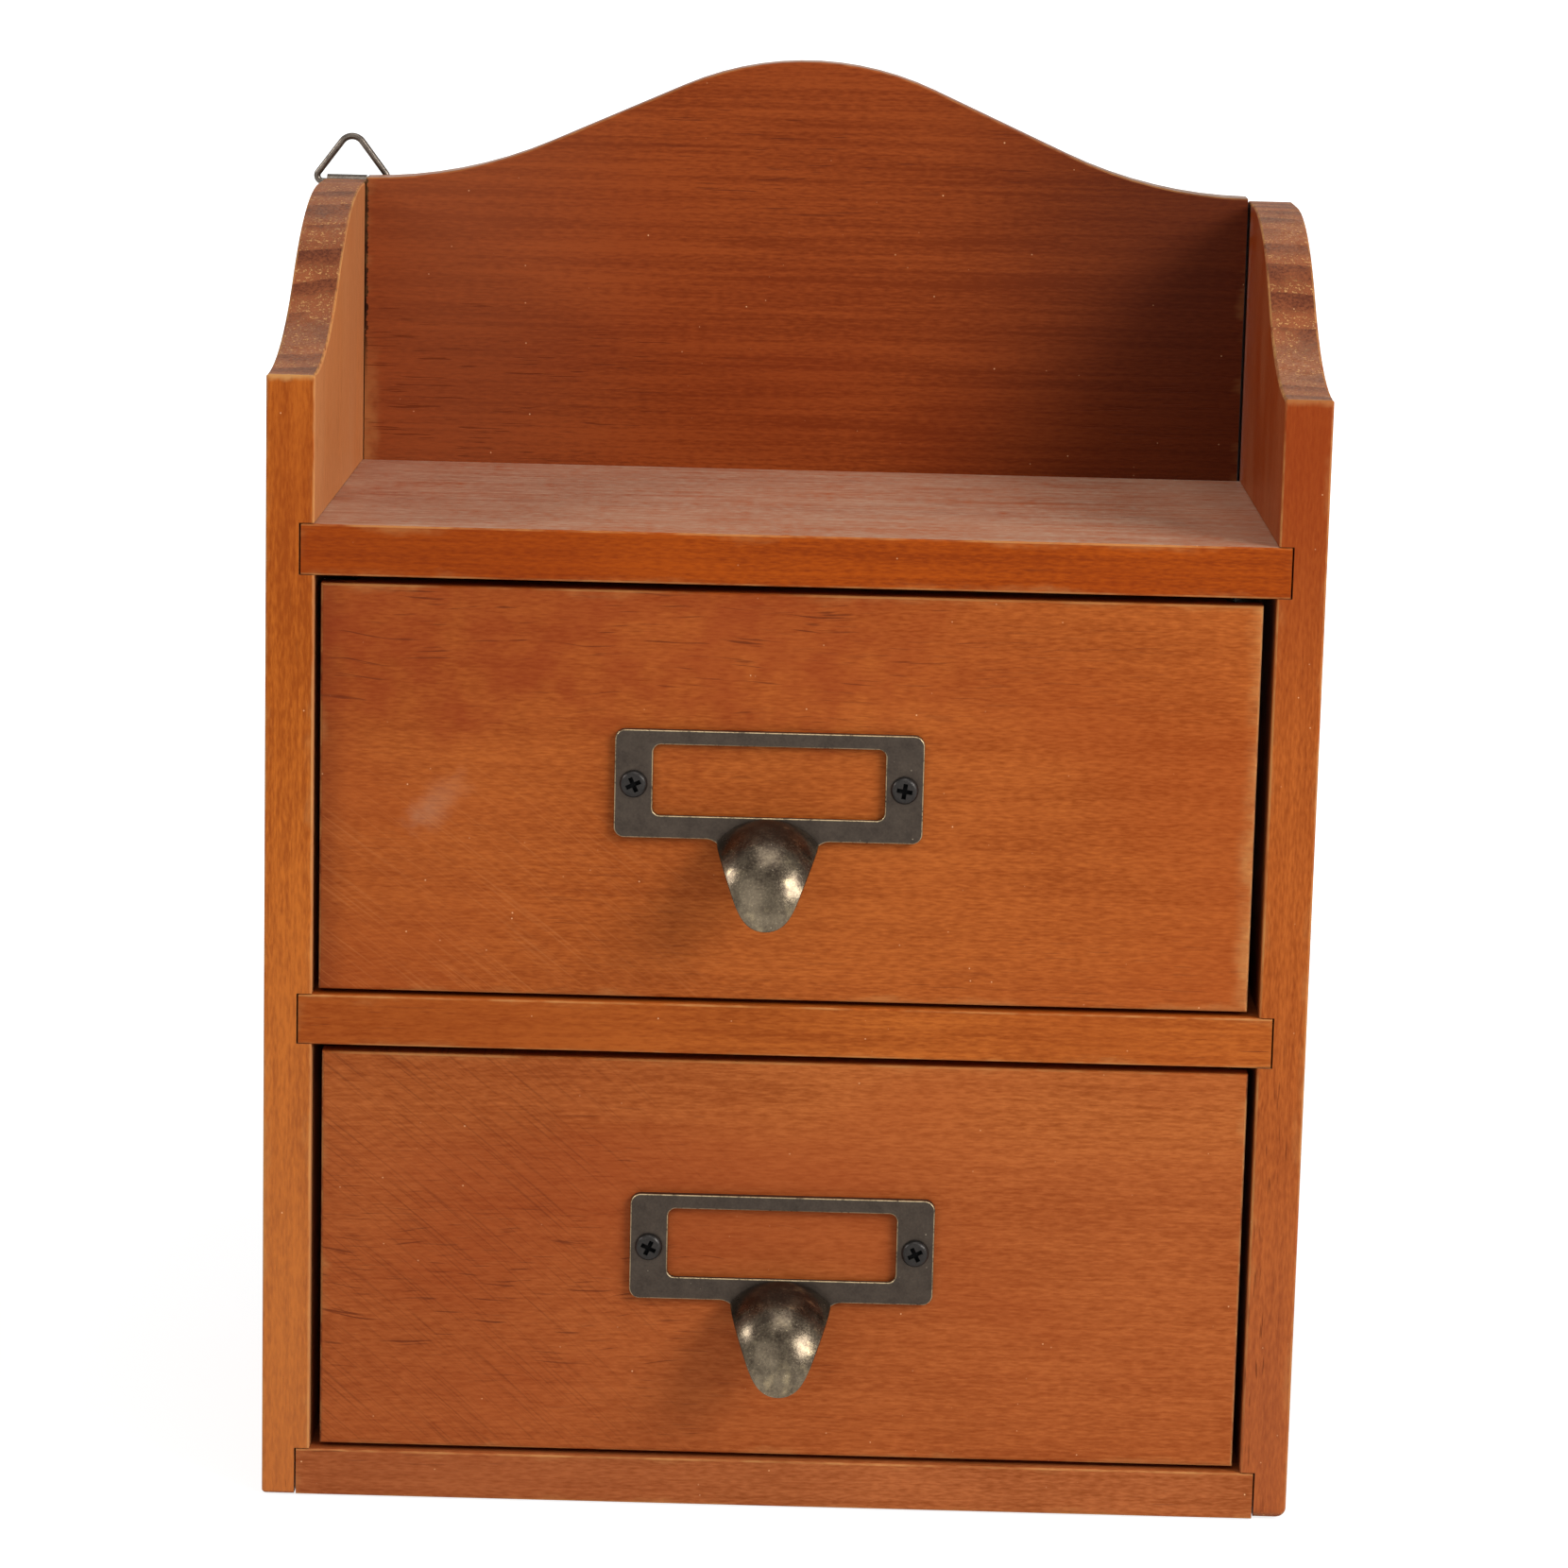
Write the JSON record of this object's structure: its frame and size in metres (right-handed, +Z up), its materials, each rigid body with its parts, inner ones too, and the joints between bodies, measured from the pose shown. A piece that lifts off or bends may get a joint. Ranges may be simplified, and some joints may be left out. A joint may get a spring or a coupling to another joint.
{
  "type": "desktop drawer unit",
  "caption": "Stained wooden desktop drawer unit: an open tray with a crested back over sliding drawers with label pulls, and wire rings behind for hanging it on a wall.",
  "frame": {"origin": "middle of the case's foot, on the surface that it stands on", "axes": "+X to the right, +Y to the back, +Z up; the drawers open towards -Y"},
  "size_m": [0.2046, 0.1262, 0.2751],
  "materials": {
    "stained_pine": "orange-brown stain, satin",
    "thin_sheet": "bare plywood",
    "antique_bronze": "darkened, rubbed bright at the edges",
    "dark_steel": "bronze plated",
    "black_steel": "blackened",
    "bright_steel": "bright wire"
  },
  "bodies": {
    "case": {"left_side_panel": "stained_pine", "right_side_panel": "stained_pine", "bottom_board": "stained_pine", "middle_shelf": "stained_pine", "top_shelf": "stained_pine", "back_board": "stained_pine", "side_brads": "bright_steel", "back_brads": "bright_steel", "left_hanger_strap": "dark_steel", "left_hanger_screw": "black_steel", "right_hanger_strap": "dark_steel", "right_hanger_screw": "black_steel"},
    "left_ring": {"left_hanger_ring": "dark_steel"},
    "right_ring": {"right_hanger_ring": "dark_steel"},
    "upper_drawer": {"upper_drawer_front": "stained_pine", "upper_drawer_left_side": "stained_pine", "upper_drawer_right_side": "stained_pine", "upper_drawer_back": "stained_pine", "upper_drawer_bottom": "thin_sheet", "upper_drawer_brads": "bright_steel", "upper_pull": "antique_bronze", "upper_pull_screws": "black_steel"},
    "lower_drawer": {"lower_drawer_front": "stained_pine", "lower_drawer_left_side": "stained_pine", "lower_drawer_right_side": "stained_pine", "lower_drawer_back": "stained_pine", "lower_drawer_bottom": "thin_sheet", "lower_drawer_brads": "bright_steel", "lower_pull": "antique_bronze", "lower_pull_screws": "black_steel"}
  },
  "joints": [
    {"name": "upper_drawer_slide", "type": "slide", "parent": "case", "child": "upper_drawer", "axis": [0, -1, 0], "range_m": [0, 0.08]},
    {"name": "lower_drawer_slide", "type": "slide", "parent": "case", "child": "lower_drawer", "axis": [0, -1, 0], "range_m": [0, 0.08]},
    {"name": "left_ring_hinge", "type": "hinge", "parent": "case", "child": "left_ring", "pos_m": [-0.0944, 0.05408, 0.2478], "axis": [-1, 0, 0], "range_deg": [0, 165.9]},
    {"name": "right_ring_hinge", "type": "hinge", "parent": "case", "child": "right_ring", "pos_m": [0.0944, 0.05408, 0.2455], "axis": [1, 0, 0], "range_deg": [0, 165.9]}
  ]
}
